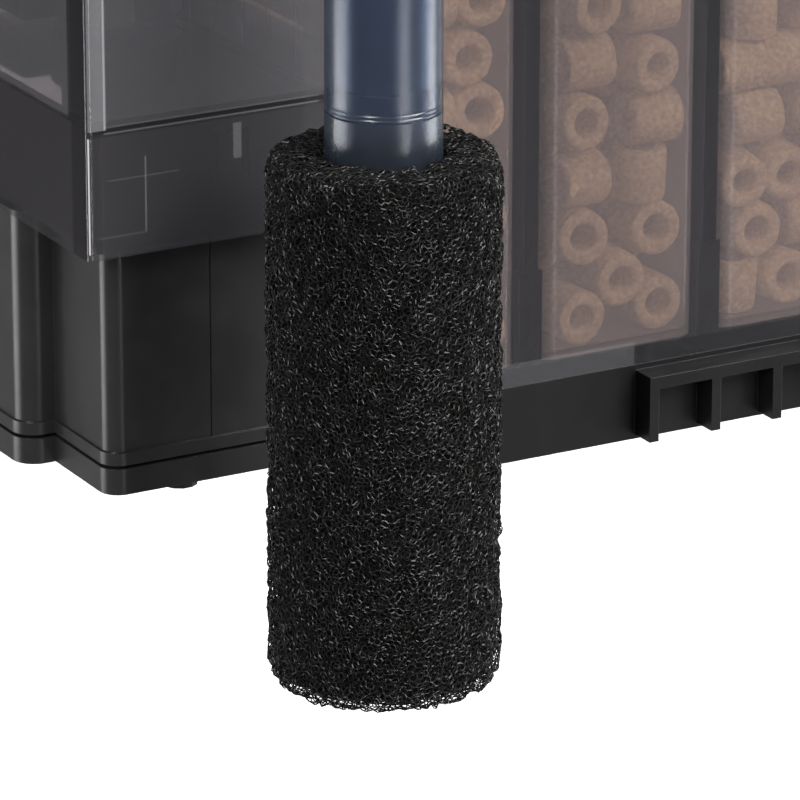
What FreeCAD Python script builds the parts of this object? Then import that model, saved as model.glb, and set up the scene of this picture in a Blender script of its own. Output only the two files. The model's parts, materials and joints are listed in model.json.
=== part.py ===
import FreeCAD, Part
import math
import os

# Hang-on-back aquarium power filter. Millimetres, +Z up, +X to the right along the tank-side face,
# -Y towards the tank. The origin is the middle of the flat face that rests on the tank's rim.

Vector = FreeCAD.Vector

# Clearances
fit = 0.3                    # between pieces that slide or lift past each other
running = 0.08               # radial, between a shaft and what turns on it
snug = 0.05                  # radial, between pieces pushed together
small_sides = 12             # of screws, feet and media rings, drawn as prisms
round_sides = 24             # of pipes, shafts and pump pieces

# Housing: a shallow pump bay at the left and a deep media tank at the right
wall = 3.0
corner = 1.0                 # outer vertical corners
inner_corner = 1.6
bay_pitch = 64.4             # left face to the middle of the partition
compartment_count = 3
compartment_pitch = 47.0
housing_depth = 104.0
rim_top = 20.0
rim_bead = 1.5
rim_bead_height = 5.0
bay_floor = -67.0
skirt_bottom = -97.0
tank_bottom = -143.0
front = 12.0                 # tank-side face of the housing
partition_top = 10.0
window_height = 3.0
window_count = 8
window_pitch = 7.0
window_lift = 6.0            # the lowest window above the bay's floor
window_front = 20.0          # solid partition before and behind the windows
window_back = 40.0

# Rim hook and spout
hook_gap = 24.0              # room for the tank's rim
hook_plate = 3.0
hook_drop = 14.0
spout_left_margin = 10.0
spout_right_margin = 6.0
spout_cheek = 2.5
spout_cheek_height = 12.0
weir_height = 7.0

# Lid
lid_wall = 2.5
lid_top = 33.0
lid_lip = 4.0
lid_lip_wall = 1.5
lid_corner = 4.0
grip_length = 44.0
grip_width = 12.0
grip_depth = 5.0
grip_soft = 4.0

# Base tray under the media tank, with stand-off ribs towards the tank's glass
tray_height = 18.0
tray_wall = 2.5
ledge_start = 137.4          # from the housing's left face
ledge_reach = 6.5
ledge_thick = 3.0
rib_count = 5
rib_pitch = 16.5
ledge_drop = 1.4             # below the tray's top
rib_lift = 1.0               # above the tray's bottom
rib_thick = 2.5

# Dividers
divider_thick = 4.0
divider_top = -4.0
foot_width = 6.2
foot_depth = 2.4
foot_height = 22.5
slot_width = 3.0
slot_height = 50.0
slot_pitch = 13.0
slot_count = 6
slot_margin = 8.0            # from the divider's foot or top

# Media cartridges
cartridge_gap = 0.5
cartridge_wall = 1.5
cartridge_corner = 5.0
cartridge_top = -12.0
grip_bar = 8.0
cartridge_slot_lift = 60.0
ring_outer = 6.1
ring_bore = 3.3
ring_length = 12.5
ring_space = 0.45
ring_setback = 1.4           # behind the cartridge's front wall, past its rounded corners
ring_columns = 3
ring_rows = 3

# Motor base
plug_inset = 3.6             # from the housing's front and left faces
plug_back_inset = 4.0
plug_corner = 2.0
base_wall = 2.5
base_front_inset = 11.5
base_side_inset = 9.7
base_front_radius = 4.0
base_soft_radius = 2.0
block_start = 38.5           # where the wider rear block begins, from the housing's front
block_inset = 1.7
block_radius = 5.0
base_gap = 1.0               # to the media tank beside it
base_bottom = -149.2
bead_height = 3.0
bead_reach = 0.6
groove = 0.8
cap_thick = 6.0
cap_lip = 4.0
seam_place = 25.0
seam_size = 0.4
latch_width = 7.5
latch_height = 11.0
latch_slit = 0.8
latch_peg = 1.6
latch_place = 28.7           # from the plug's left face
latch_drop = 3.5             # below the plug's top
boss_radius = 3.6
boss_height = 20.0
screw_radius = 1.45
screw_head_radius = 2.9
screw_head_height = 2.0
screw_length = 12.0
screw_sink = 0.5
foot_radius = 4.0
front_foot_inset = 13.0      # from the base's front and, for the rear pair, the housing's back
rear_foot_inset = 18.0
front_foot_shift = -2.5      # sideways from the base's middle
rear_foot_shifts = (-15.0, 12.0)

# Pump, on one upright axis
pump_from_left = 47.4
pump_from_back = 22.0
well_radius = 9.0
well_wall = 1.2
well_depth = 39.0            # below the bay's floor
flange_radius = 13.5
flange_thick = 2.5
gasket_thick = 2.3
well_collar = 1.0
well_boss_wall = 1.2
well_boss_floor = 3.0
shaft_radius = 1.0
bearing_radius = 3.0
bearing_height = 2.8
magnet_radius = 7.3
magnet_length = 25.0
sleeve_radius = 2.5
impeller_radius = 10.5
impeller_disc = 1.2
blade_count = 6
blade_height = 7.0
blade_thick = 1.2
hub_rise = 2.5
cover_radius = 15.0
cover_wall = 1.8
cover_height = 16.0
socket_height = 10.0
outlet_width = 11.0
outlet_height = 10.0
outlet_reach = 8.0
spider_wall = 1.2
spoke_thick = 1.6
core_height = 14.0
core_reach = 37.0
arm_inner = 5.0
arm_width = 7.0
yoke_width = 10.0
coil_build = 3.0
coil_length = 16.0

# Water pipes
tube_from_left = 47.4
tube_from_front = 45.0
tube_radius = 12.5
tube_wall = 1.5
tube_top = -7.3
tube_bottom = -57.5
lap = 6.0                    # half-lap joint between the tube and the strainer
pipe_wall = 1.7
duct_bend = 13.0
duct_crotch = 3.0
duct_bottom = -7.0
crossover_height = 16.0
leg_bottom = -56.0
rear_leg_bottom = -29.0
bell_wall = 1.8
bell_length = 14.0
seal_width = 2.0
seal_depth = 0.8
seal_place = -16.0

# Flow lever
lever_from_front = 14.0
spindle_radius = 2.0
valve_thick = 1.6
lever_boss = 5.0
lever_boss_rise = 4.0
lever_hub = 6.0
lever_thick = 3.5
lever_length = 24.0
lever_width = 6.0

# Strainer and its foam sleeve
strainer_bottom = -172.0
strainer_chamfer = 2.0
strainer_slot_top = -96.0
strainer_slot_width = 2.2
strainer_slot_height = 32.0
strainer_slot_rows = 2
strainer_slot_gap = 4.0
strainer_slots_around = 8
sponge_top = -66.6
sponge_length = 118.8
sponge_radius = 25.0
sponge_rim = 4.0

# Cord inlet
gland_radius = 5.0
gland_flange = 7.5
gland_flange_thick = 2.0
gland_nose = 12.0
gland_stem = 3.0             # past the wall, inside
gland_nose_radius = 4.2
gland_bore = 2.8
gland_height = -136.0
gland_from_left = 26.0

# Places that follow from the sizes above
housing_width = bay_pitch + compartment_count * compartment_pitch + wall / 2
left = -housing_width / 2
right = housing_width / 2
back = front + housing_depth
partition = left + bay_pitch
partition_left = partition - wall / 2
partition_right = partition + wall / 2
hook_face = front - hook_gap
hook_front = hook_face - hook_plate
tray_bottom = tank_bottom - tray_height
tank_floor = tank_bottom + wall
bay_underside = bay_floor - wall
cap_top = base_bottom - groove
cap_bottom = cap_top - cap_thick
pump_x = left + pump_from_left
pump_y = back - pump_from_back
tube_x = left + tube_from_left
tube_y = front - tube_from_front
pipe_radius = tube_radius - tube_wall - fit
well_bottom = bay_floor - well_depth
flange_top = bay_underside - gasket_thick
flange_bottom = flange_top - flange_thick
bearing_top = well_bottom + well_wall + bearing_height
magnet_bottom = bearing_top + fit
magnet_top = magnet_bottom + magnet_length
impeller_bottom = bay_floor + well_collar + fit
cover_top = bay_floor + cover_height
lever_y = front - lever_from_front
lever_seat = crossover_height + pipe_radius + lever_boss_rise
cartridge_bottom = tank_floor + fit
sponge_bottom = sponge_top - sponge_length


def block(x0, x1, y0, y1, z0, z1):
    return Part.makeBox(x1 - x0, y1 - y0, z1 - z0, Vector(x0, y0, z0))


def ring_wire(radius, x, y, z, sides):
    # an even polygon with its flats at the radius
    reach = radius / math.cos(math.pi / sides)
    turns = [2 * math.pi * (step + 0.5) / sides for step in range(sides + 1)]
    return Part.makePolygon([Vector(x + reach * math.cos(turn), y + reach * math.sin(turn), z)
                             for turn in turns])


def many_sided(radius, x, y, z0, z1, sides=small_sides):
    return Part.Face(ring_wire(radius, x, y, z0, sides)).extrude(Vector(0, 0, z1 - z0))


def rod(radius, x, y, z0, z1):
    return many_sided(radius, x, y, z0, z1, round_sides)


def tapered(radius0, radius1, x, y, z0, z1):
    wires = [ring_wire(radius0, x, y, z0, round_sides), ring_wire(radius1, x, y, z1, round_sides)]
    return Part.makeLoft(wires, True, True)


def pipe(outer, inner, x, y, z0, z1):
    return rod(outer, x, y, z0, z1).cut(rod(inner, x, y, z0, z1))


def rounded_prism(corners, z0, z1):
    # corners are (x, y, radius), anticlockwise, and a radius of 0 is a sharp corner
    ends = []
    edges = []
    for index, (x, y, radius) in enumerate(corners):
        here = Vector(x, y, z0)
        if radius == 0:
            ends.append((here, here))
            continue
        before = Vector(*corners[index - 1][:2], z0) - here
        after = Vector(*corners[(index + 1) % len(corners)][:2], z0) - here
        before.normalize()
        after.normalize()
        half = before.getAngle(after) / 2
        inward = (before + after).normalize()
        reach = radius / math.tan(half)
        start = here + before * reach
        end = here + after * reach
        middle = here + inward * (radius / math.sin(half) - radius)
        ends.append((start, end))
        edges.append(Part.Arc(start, middle, end).toShape())
    for index, (start, end) in enumerate(ends):
        following = ends[(index + 1) % len(ends)][0]
        edges.append(Part.makeLine(end, following))
    outline = Part.Wire(Part.__sortEdges__(edges))
    return Part.Face(outline).extrude(Vector(0, 0, z1 - z0))


def rounded_block(x0, x1, y0, y1, z0, z1, radius):
    corners = [(x0, y0, radius), (x1, y0, radius), (x1, y1, radius), (x0, y1, radius)]
    return rounded_prism(corners, z0, z1)


def fused(shapes):
    whole = shapes[0].fuse(shapes[1:]) if len(shapes) > 1 else shapes[0]
    return whole.removeSplitter()


def cut_all(shape, tools):
    return shape.cut(Part.makeCompound(tools)).removeSplitter()


def duct(inset):
    # the crossover's outline from the side, an inverted U, as wide as the legs
    half = pipe_radius - inset
    y0 = tube_y - half
    y1 = pump_y + half
    z0 = duct_bottom + inset
    z1 = crossover_height + half
    soft = duct_bend - inset
    outer = rounded_prism([(y0, z0, 0), (y1, z0, 0), (y1, z1, soft), (y0, z1, soft)],
                          tube_x - half, tube_x + half)
    inner = rounded_prism([
        (tube_y + half, z0 - 1, 0), (pump_y - half, z0 - 1, 0),
        (pump_y - half, crossover_height - half, duct_crotch + inset),
        (tube_y + half, crossover_height - half, duct_crotch + inset)],
        tube_x - half - 1, tube_x + half + 1)
    body = outer.cut(inner)
    # drawn on (y, z) and raised along x, so each axis moves up one place
    body.Placement = FreeCAD.Placement(Vector(0, 0, 0), FreeCAD.Rotation(Vector(1, 1, 1), 120))
    return body


def compartment_middle(index):
    return partition + (index + 0.5) * compartment_pitch


def base_outline(inset):
    # the motor base's plan, drawn in by inset
    base_left = left + base_side_inset + inset
    block_left = left + block_inset + inset
    base_front = front + base_front_inset + inset
    shoulder = front + block_start + inset
    base_right = partition_left - base_gap - inset
    base_back = back - block_inset - inset
    soft = 0 if inset > 0 else base_soft_radius
    return [
        (base_left, base_front, max(1.0, base_front_radius - inset)),
        (base_right, base_front, soft),
        (base_right, base_back, soft),
        (block_left, base_back, max(1.0, block_radius - inset)),
        (block_left, shoulder, max(1.0, block_radius - inset)),
        (base_left, shoulder, 0)]


def plug_block(inset, z0, z1):
    return rounded_block(
        left + plug_inset + inset, partition_left - base_gap - inset,
        front + plug_inset + inset, back - plug_back_inset - inset,
        z0, z1, 0 if inset > 0 else plug_corner)


def screw_places():
    near = base_wall + boss_radius - 0.6
    base_right = partition_left - base_gap - near
    return [
        (left + base_side_inset + near, front + base_front_inset + near),
        (base_right, front + base_front_inset + near),
        (base_right, back - block_inset - near),
        (left + block_inset + near, back - block_inset - near)]


def housing():
    body = fused([
        rounded_block(left, partition_right, front, back, skirt_bottom, rim_top, corner),
        rounded_block(partition_left, right, front, back, tank_bottom, rim_top, corner),
        rounded_block(left - rim_bead, right + rim_bead, front + wall + 1, back + rim_bead,
                      rim_top - rim_bead_height, rim_top, corner + rim_bead),
        block(left, right, hook_front, front + wall, 0, hook_plate),
        block(left, right, hook_front, hook_face, -hook_drop, hook_plate)])
    spout_left = partition + spout_left_margin
    spout_right = right - spout_right_margin
    body = fused([
        body,
        block(spout_left - spout_cheek, spout_left, hook_front, front + wall, 0, spout_cheek_height),
        block(spout_right, spout_right + spout_cheek, hook_front, front + wall, 0,
              spout_cheek_height)])
    notch = pipe_radius + fit
    hollows = [
        rounded_block(left + wall, partition_left, front + wall, back - wall,
                      bay_floor, rim_top + 1, inner_corner),
        block(left + wall, partition_left, front + wall, back - wall,
              skirt_bottom - 1, bay_underside),
        rounded_block(partition_right, right - wall, front + wall, back - wall,
                      tank_floor, rim_top + 1, inner_corner),
        block(spout_left, spout_right, front - 1, front + wall + 1, weir_height, rim_top + 1),
        block(tube_x - notch, tube_x + notch, front - 1, front + wall + 1,
              crossover_height - notch, rim_top + 1),
        rod(well_radius + fit, pump_x, pump_y, bay_underside - 1, bay_floor + 1)]
    hollows.append(block(partition_left - 1, partition_right + 1, front + wall, back - wall,
                         partition_top, rim_top + 1))
    for index in range(window_count):
        low = bay_floor + window_lift + index * window_pitch
        hollows.append(block(partition_left - 1, partition_right + 1, front + window_front,
                             back - window_back, low, low + window_height))
    return cut_all(body, hollows)


def lid():
    low = rim_top + fit
    roof = lid_top - lid_wall
    lip = wall + fit
    shell = rounded_block(left, right, front, back, low, lid_top, lid_corner)
    rim = rounded_block(left + lip, right - lip, front + lip, back - lip,
                        low - lid_lip, low + 1, inner_corner)
    inside = lip + lid_lip_wall
    hollow = block(left + inside, right - inside, front + inside, back - inside,
                   low - lid_lip - 1, roof)
    body = cut_all(fused([shell, rim]), [hollow])
    middle = (front + back) / 2
    grip = rounded_block(-grip_length / 2 - lid_wall, grip_length / 2 + lid_wall,
                         middle - grip_width / 2 - lid_wall, middle + grip_width / 2 + lid_wall,
                         lid_top - grip_depth - lid_wall, lid_top, grip_soft + 1)
    dip = rounded_block(-grip_length / 2, grip_length / 2, middle - grip_width / 2,
                        middle + grip_width / 2, lid_top - grip_depth, lid_top + 1, grip_soft)
    slot = pipe_radius + 4 * fit
    passage = block(tube_x - slot, tube_x + slot, front - 1, front + inside + 1,
                    low - lid_lip - 1, crossover_height + slot)
    return cut_all(fused([body, grip]), [dip, passage])


def base_tray():
    outer = rounded_block(partition_left, right, front, back, tray_bottom, tank_bottom, corner)
    pockets = []
    for index in range(compartment_count):
        low = partition + index * compartment_pitch + tray_wall / 2
        if index == 0:
            low = partition_left + tray_wall
        high = partition + (index + 1) * compartment_pitch - tray_wall / 2
        if index == compartment_count - 1:
            high = right - tray_wall
        pockets.append(block(low, high, front + tray_wall, back - tray_wall,
                             tray_bottom - 1, tank_bottom - tray_wall))
    tray = cut_all(outer, pockets)
    ledge_left = left + ledge_start
    ledge_top = tank_bottom - ledge_drop
    ledge_right = ledge_left + (rib_count - 1) * rib_pitch + rib_thick
    rails = [block(ledge_left, ledge_right, front - ledge_reach, front + 1,
                   ledge_top - ledge_thick, ledge_top)]
    for index in range(rib_count):
        x = ledge_left + index * rib_pitch
        rails.append(block(x, x + rib_thick, front - ledge_reach, front + 1,
                           tray_bottom + rib_lift, ledge_top))
    return fused([tray] + rails)


def divider(index):
    x = partition + index * compartment_pitch
    half = divider_thick / 2
    low = tank_floor
    plate = block(x - half, x + half, front + wall, back - wall, low, divider_top)
    foot = block(x - foot_width / 2, x + foot_width / 2, front + wall,
                 front + wall + foot_depth, low, low + foot_height)
    slot_low = low + slot_margin if index % 2 else divider_top - slot_margin - slot_height
    first = (front + back - (slot_count - 1) * slot_pitch) / 2
    slots = []
    for step in range(slot_count):
        y = first + step * slot_pitch
        slots.append(block(x - half - 1, x + half + 1, y - slot_width / 2, y + slot_width / 2,
                           slot_low, slot_low + slot_height))
    return cut_all(fused([plate, foot]), slots)


def cartridge(index):
    x = compartment_middle(index)
    half = (compartment_pitch - divider_thick) / 2 - cartridge_gap
    y0 = front + wall + cartridge_gap
    y1 = back - wall - cartridge_gap
    box = rounded_block(x - half, x + half, y0, y1, cartridge_bottom, cartridge_top,
                        cartridge_corner)
    inner = rounded_block(x - half + cartridge_wall, x + half - cartridge_wall,
                          y0 + cartridge_wall, y1 - cartridge_wall,
                          cartridge_bottom + cartridge_wall, cartridge_top + 1,
                          cartridge_corner - cartridge_wall)
    first = (front + back - (slot_count - 1) * slot_pitch) / 2
    slot_low = cartridge_bottom + cartridge_slot_lift
    slots = []
    for step in range(slot_count):
        y = first + step * slot_pitch
        slots.append(block(x - half - 1, x + half + 1, y - slot_width / 2, y + slot_width / 2,
                           slot_low, slot_low + slot_height))
    bar = block(x - half + 0.5, x + half - 0.5, (y0 + y1 - cartridge_wall) / 2,
                (y0 + y1 + cartridge_wall) / 2, cartridge_top - grip_bar, cartridge_top)
    return fused([cut_all(box, [inner] + slots), bar])


def ceramic_rings(index):
    x = compartment_middle(index)
    pitch = 2 * ring_outer + ring_space
    y = front + wall + cartridge_gap + cartridge_wall + ring_setback
    rings = []
    for row in range(ring_rows):
        z = cartridge_bottom + cartridge_wall + ring_space + ring_outer + row * pitch
        for column in range(ring_columns):
            ring = many_sided(ring_outer, 0, 0, 0, ring_length)
            ring = ring.cut(many_sided(ring_bore, 0, 0, -1, ring_length + 1))
            ring.rotate(Vector(0, 0, 0), Vector(1, 0, 0), -90)
            ring.translate(Vector(x + (column - (ring_columns - 1) / 2) * pitch, y, z))
            rings.append(ring)
    return Part.makeCompound(rings)


def motor_base():
    w = base_wall
    outer = fused([
        rounded_prism(base_outline(0), base_bottom, skirt_bottom),
        rounded_prism(base_outline(-bead_reach), base_bottom, base_bottom + bead_height)])
    throat = rounded_prism(base_outline(w), skirt_bottom - w - 1, skirt_bottom + 1)
    hollow = fused([
        rounded_prism(base_outline(w), base_bottom - 1, skirt_bottom - w),
        throat.common(plug_block(w, skirt_bottom - w - 1, skirt_bottom + 1))])
    bosses = [many_sided(boss_radius, x, y, cap_top, base_bottom + boss_height)
              for x, y in screw_places()]
    shell = fused([outer.cut(hollow)] + bosses)
    cuts = [many_sided(screw_radius, x, y, cap_top - 1, cap_top + screw_length)
            for x, y in screw_places()]
    cuts.append(Part.makeCylinder(gland_radius + snug, 4 * w,
                                  Vector(left + gland_from_left, back - block_inset - 2 * w,
                                         gland_height), Vector(0, 1, 0)))
    seam_x = left + base_side_inset + seam_place
    seam_y = front + base_front_inset
    cuts.append(block(seam_x, seam_x + seam_size, seam_y - 1, seam_y + seam_size,
                      base_bottom + bead_height, skirt_bottom))
    return cut_all(shell, cuts)


def motor_cover():
    # the upper half of the motor's case, which plugs into the housing's skirt
    w = base_wall
    shell = plug_block(0, skirt_bottom, bay_underside)
    shell = shell.cut(plug_block(w, skirt_bottom - 1, bay_underside - w))
    recess = flange_radius + 2 * snug
    boss_bottom = flange_bottom - well_boss_floor
    boss = rod(recess + well_boss_wall, pump_x, pump_y, boss_bottom, bay_underside)
    shell = fused([shell, boss.common(plug_block(0, boss_bottom, bay_underside))])
    cuts = [
        rod(recess, pump_x, pump_y, flange_bottom, bay_underside + 1),
        rod(well_radius + snug, pump_x, pump_y, boss_bottom - 1, bay_underside)]
    # snap tongue in the front wall: a U of slits with a peg at its tip
    tongue_x = left + plug_inset + latch_place
    top = bay_underside - latch_drop
    bottom = top - latch_height
    plug_front = front + plug_inset
    for x in (tongue_x, tongue_x + latch_width):
        cuts.append(block(x, x + latch_slit, plug_front - 1, plug_front + w + 1, bottom, top))
    cuts.append(block(tongue_x, tongue_x + latch_width + latch_slit, plug_front - 1,
                      plug_front + w + 1, top - latch_slit, top))
    shell = cut_all(shell, cuts)
    peg_x = tongue_x + latch_width / 2
    peg = Part.makeCylinder(latch_peg, plug_inset - wall - snug + w / 2,
                            Vector(peg_x, front + wall + snug, top - latch_drop), Vector(0, 1, 0))
    return fused([shell, peg])


def motor_base_cap():
    plate = rounded_prism(base_outline(-bead_reach), cap_bottom, cap_top)
    lip_top = cap_top + groove + cap_lip
    lip = rounded_prism(base_outline(base_wall + snug), cap_top - 1, lip_top)
    cuts = [rounded_prism(base_outline(2 * base_wall), cap_top, lip_top + 1)]
    for x, y in screw_places():
        cuts.append(many_sided(boss_radius + fit, x, y, cap_top, lip_top + 1))
        cuts.append(many_sided(screw_radius + snug, x, y, cap_bottom - 1, cap_top + 1))
        cuts.append(many_sided(screw_head_radius + fit, x, y, cap_bottom - 1,
                               cap_bottom + screw_head_height + screw_sink))
    return cut_all(fused([plate, lip]), cuts)


def foot_places():
    middle = (left + base_side_inset + partition_left - base_gap) / 2
    places = [(middle + front_foot_shift, front + base_front_inset + front_foot_inset)]
    places += [(middle + shift, back - rear_foot_inset) for shift in rear_foot_shifts]
    return places


def base_feet():
    return Part.makeCompound([many_sided(foot_radius, x, y, tray_bottom, cap_bottom)
                              for x, y in foot_places()])


def base_cap_screws():
    screws = []
    for x, y in screw_places():
        head_top = cap_bottom + screw_head_height + screw_sink
        head = many_sided(screw_head_radius, x, y, head_top - screw_head_height, head_top)
        shank = many_sided(screw_radius - snug, x, y, head_top - 1, cap_top + screw_length - 1)
        screws.append(fused([head, shank]))
    return Part.makeCompound(screws)


def rotor_well():
    cup = fused([
        rod(well_radius, pump_x, pump_y, well_bottom, bay_floor + well_collar),
        rod(flange_radius, pump_x, pump_y, flange_bottom, flange_top)])
    return cup.cut(rod(well_radius - well_wall, pump_x, pump_y, well_bottom + well_wall,
                       bay_floor + well_collar + 1))


def well_gasket():
    return pipe(flange_radius, well_radius + snug, pump_x, pump_y, flange_top, bay_underside)


def lower_bearing():
    return pipe(well_radius - well_wall - snug, shaft_radius + snug, pump_x, pump_y,
                well_bottom + well_wall, bearing_top)


def impeller_shaft():
    return rod(shaft_radius, pump_x, pump_y, well_bottom + well_wall, cover_top + 1)


def rotor_magnet():
    return pipe(magnet_radius, sleeve_radius + 0.02, pump_x, pump_y, magnet_bottom, magnet_top)


def impeller():
    bore = shaft_radius + running
    disc_top = impeller_bottom + impeller_disc
    parts = [
        rod(sleeve_radius, pump_x, pump_y, magnet_bottom, disc_top),
        rod(impeller_radius, pump_x, pump_y, impeller_bottom, disc_top),
        rod(2 * sleeve_radius, pump_x, pump_y, disc_top - 0.5, disc_top + hub_rise)]
    for index in range(blade_count):
        blade = block(pump_x + sleeve_radius, pump_x + impeller_radius,
                      pump_y - blade_thick / 2, pump_y + blade_thick / 2,
                      disc_top - 0.5, disc_top + blade_height)
        blade.rotate(Vector(pump_x, pump_y, 0), Vector(0, 0, 1), index * 360 / blade_count)
        parts.append(blade)
    wheel = fused(parts)
    return wheel.cut(rod(bore, pump_x, pump_y, magnet_bottom - 1, disc_top + blade_height + 1))


def impeller_cover():
    x, y = pump_x, pump_y
    inner = cover_radius - cover_wall
    roof = cover_top - cover_wall
    socket = pipe_radius + snug
    outlet_y = y + inner - outlet_width
    outlet_z = bay_floor + cover_wall
    body = fused([
        rod(cover_radius, x, y, bay_floor, cover_top),
        rod(socket + bell_wall, x, y, cover_top - 1, cover_top + socket_height),
        block(x - cover_radius - outlet_reach, x, outlet_y - cover_wall,
              outlet_y + outlet_width + cover_wall, bay_floor,
              outlet_z + outlet_height + cover_wall)])
    suction = pipe_radius - pipe_wall
    hollows = [
        rod(inner, x, y, bay_floor - 1, roof),
        rod(suction, x, y, roof - 1, cover_top + 1),
        rod(socket, x, y, cover_top, cover_top + socket_height + 1),
        block(x - cover_radius - outlet_reach - 1, x, outlet_y, outlet_y + outlet_width,
              outlet_z, outlet_z + outlet_height)]
    body = cut_all(body, hollows)
    spider = [rod(bearing_radius + spider_wall, x, y, roof, cover_top + 1)]
    for index in range(3):
        spoke = block(x, x + suction + 1, y - spoke_thick / 2, y + spoke_thick / 2, roof,
                      cover_top)
        spoke.rotate(Vector(x, y, 0), Vector(0, 0, 1), 60 + index * 120)
        spider.append(spoke)
    body = fused([body] + spider)
    return body.cut(rod(bearing_radius + snug, x, y, roof - 1, cover_top + 2))


def upper_bearing():
    return pipe(bearing_radius, shaft_radius + snug, pump_x, pump_y,
                cover_top - cover_wall, cover_top + 1)


def core_levels():
    middle = (magnet_bottom + magnet_top) / 2
    return middle - core_height / 2, middle + core_height / 2


def arm_centre(side):
    return pump_y + side * (arm_inner + arm_width / 2)


def stator_core():
    z0, z1 = core_levels()
    reach = pump_x - core_reach
    outer = arm_inner + arm_width
    parts = [block(reach, reach + yoke_width, pump_y - outer, pump_y + outer, z0, z1)]
    for side in (-1, 1):
        y = arm_centre(side)
        parts.append(block(reach, pump_x + well_radius, y - arm_width / 2, y + arm_width / 2,
                           z0, z1))
    return cut_all(fused(parts), [rod(well_radius + fit, pump_x, pump_y, z0 - 1, z1 + 1)])


def stator_coils():
    z0, z1 = core_levels()
    start = pump_x - core_reach + yoke_width + snug
    coils = []
    for side in (-1, 1):
        y = arm_centre(side)
        half = arm_width / 2
        body = rounded_block(start, start + coil_length, y - half - coil_build,
                             y + half + coil_build, z0 - coil_build, z1 + coil_build, 1.5)
        core = block(start - 1, start + coil_length + 1, y - half - snug, y + half + snug,
                     z0 - snug, z1 + snug)
        coils.append(body.cut(core))
    return Part.makeCompound(coils)


def cable_gland():
    # drawn upright at the origin, then laid along +Y with its flange on the base's rear wall
    stem_length = base_wall + gland_stem
    body = fused([
        rod(gland_radius, 0, 0, -stem_length, 0),
        rod(gland_flange, 0, 0, 0, gland_flange_thick),
        rod(gland_nose_radius, 0, 0, 0, gland_nose)])
    bore = Part.makeCylinder(gland_bore, stem_length + gland_nose + 2,
                             Vector(0, 0, -stem_length - 1))
    body = body.cut(bore)
    body.Placement = FreeCAD.Placement(
        Vector(left + gland_from_left, back - block_inset, gland_height),
        FreeCAD.Rotation(Vector(1, 0, 0), -90))
    return body


def intake_elbow():
    bore = pipe_radius - pipe_wall
    body = fused([
        duct(0),
        rod(pipe_radius, tube_x, tube_y, leg_bottom, duct_bottom + 1),
        rod(pipe_radius, tube_x, pump_y, rear_leg_bottom, duct_bottom + 1),
        rod(lever_boss, tube_x, lever_y, crossover_height + bore, lever_seat)])
    return cut_all(body, [
        duct(pipe_wall),
        rod(bore, tube_x, tube_y, leg_bottom - 1, duct_bottom + 2 * pipe_wall),
        rod(bore, tube_x, pump_y, rear_leg_bottom - 1, duct_bottom + 2 * pipe_wall),
        rod(spindle_radius + running, tube_x, lever_y, crossover_height, lever_seat + 1),
        pipe(tube_radius, pipe_radius - seal_depth, tube_x, tube_y,
             seal_place - seal_width / 2, seal_place + seal_width / 2)])


def tube_seal():
    return pipe(tube_radius - tube_wall - running, pipe_radius - seal_depth, tube_x, tube_y,
                seal_place - seal_width / 2, seal_place + seal_width / 2)


def flow_lever():
    x, y = tube_x, lever_y
    base = lever_seat + fit
    top = base + lever_thick
    hub = rod(lever_hub, x, y, base, top + 1.5)
    arm = rounded_block(x - lever_width / 2, x + lever_width / 2, y - lever_length, y,
                        base, top, lever_width / 2 - 0.2)
    tip = rod(lever_width / 2 - 0.2, x, y - lever_length + lever_width / 2, base, top + 3)
    return fused([hub, arm, tip]).cut(rod(spindle_radius + snug, x, y, base - 1, top))


def flow_valve():
    half = pipe_radius - pipe_wall - fit
    vane = block(tube_x - valve_thick / 2, tube_x + valve_thick / 2,
                 lever_y - half, lever_y + half, crossover_height - half, crossover_height + half)
    spindle = rod(spindle_radius, tube_x, lever_y, crossover_height - half,
                  lever_seat + fit + lever_thick - snug)
    return fused([vane, spindle])


def down_pipe():
    x, y = pump_x, pump_y
    bell = pipe_radius + snug
    bell_top = rear_leg_bottom + bell_length
    pipe_bottom = cover_top + snug
    body = fused([
        rod(pipe_radius, x, y, pipe_bottom, rear_leg_bottom),
        rod(bell + bell_wall, x, y, rear_leg_bottom - 2, bell_top)])
    return cut_all(body, [
        rod(pipe_radius - pipe_wall, x, y, pipe_bottom - 1, rear_leg_bottom),
        rod(bell, x, y, rear_leg_bottom - snug, bell_top + 1)])


def intake_tube():
    inner = tube_radius - tube_wall
    tube = pipe(tube_radius, inner, tube_x, tube_y, tube_bottom, tube_top)
    return tube.cut(rod(tube_radius - tube_wall / 2, tube_x, tube_y, tube_bottom, tube_bottom + lap))


def strainer():
    inner = tube_radius - tube_wall
    spigot = tube_radius - tube_wall / 2 - snug
    body = fused([
        tapered(tube_radius - strainer_chamfer, tube_radius, tube_x, tube_y,
                strainer_bottom, strainer_bottom + strainer_chamfer),
        rod(tube_radius, tube_x, tube_y, strainer_bottom + strainer_chamfer, tube_bottom - snug),
        rod(spigot, tube_x, tube_y, tube_bottom - 1, tube_bottom + lap - snug)])
    body = body.cut(rod(inner, tube_x, tube_y, strainer_bottom + strainer_chamfer, tube_bottom + lap))
    slots = []
    for row in range(strainer_slot_rows):
        top = strainer_slot_top - row * (strainer_slot_height + strainer_slot_gap)
        for index in range(strainer_slots_around // 2):
            slot = block(tube_x - tube_radius - 1, tube_x + tube_radius + 1,
                         tube_y - strainer_slot_width / 2, tube_y + strainer_slot_width / 2,
                         top - strainer_slot_height, top)
            slot.rotate(Vector(tube_x, tube_y, 0), Vector(0, 0, 1),
                        index * 360 / strainer_slots_around)
            slots.append(slot)
    return cut_all(body, slots)


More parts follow.
